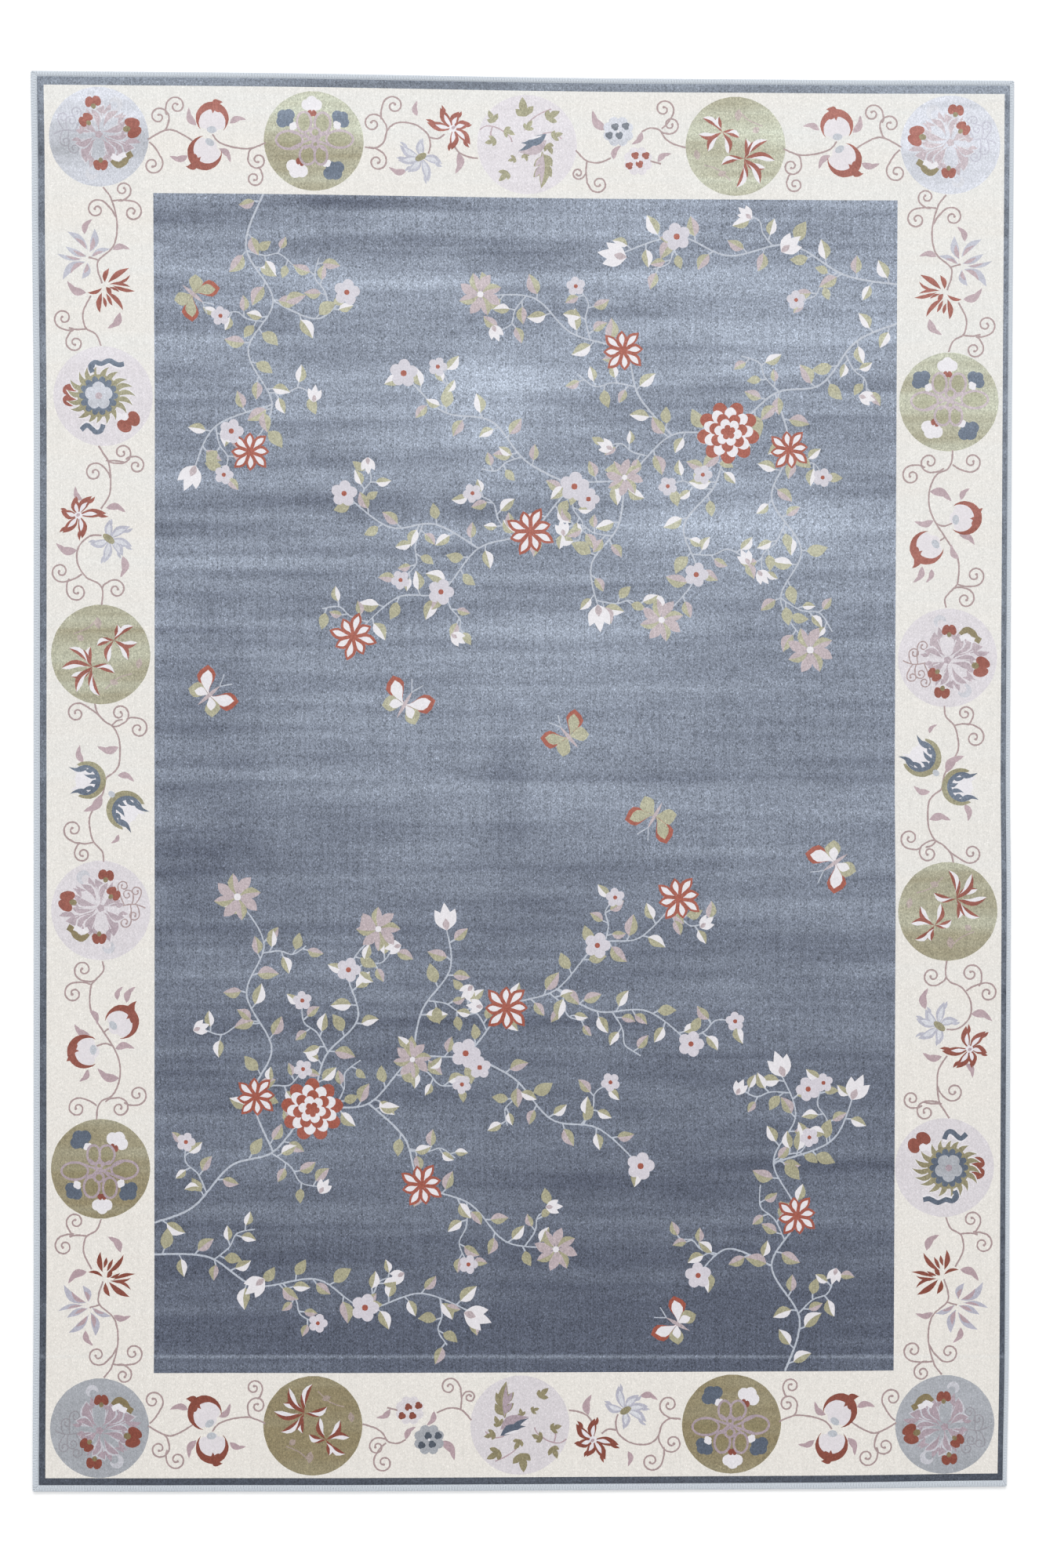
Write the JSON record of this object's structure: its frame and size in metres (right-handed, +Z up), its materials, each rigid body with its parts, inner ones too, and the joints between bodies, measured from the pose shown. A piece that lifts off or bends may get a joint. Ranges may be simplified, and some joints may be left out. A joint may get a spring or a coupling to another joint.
{
  "type": "woven rug with sewn yarn edges",
  "caption": "Rectangular woven rug with a low cut pile, lying flat: slate field with flowering branches, pale border of roundels and scrolls, yarn-bound edges.",
  "frame": {"origin": "on the floor, under the middle of the rug", "axes": "+Y along the rug's length, towards the top of the picture; +X across it; +Z up"},
  "size_m": [1.6039, 2.3174, 0.007],
  "materials": {
    "pile": "short cut pile with a soft sheen",
    "edge_yarn": "pale overlocked yarn"
  },
  "bodies": {
    "root": {"woven_body": "pile", "sewn_edge_bottom": "edge_yarn", "sewn_edge_right": "edge_yarn", "sewn_edge_top": "edge_yarn", "sewn_edge_left": "edge_yarn"}
  },
  "joints": []
}
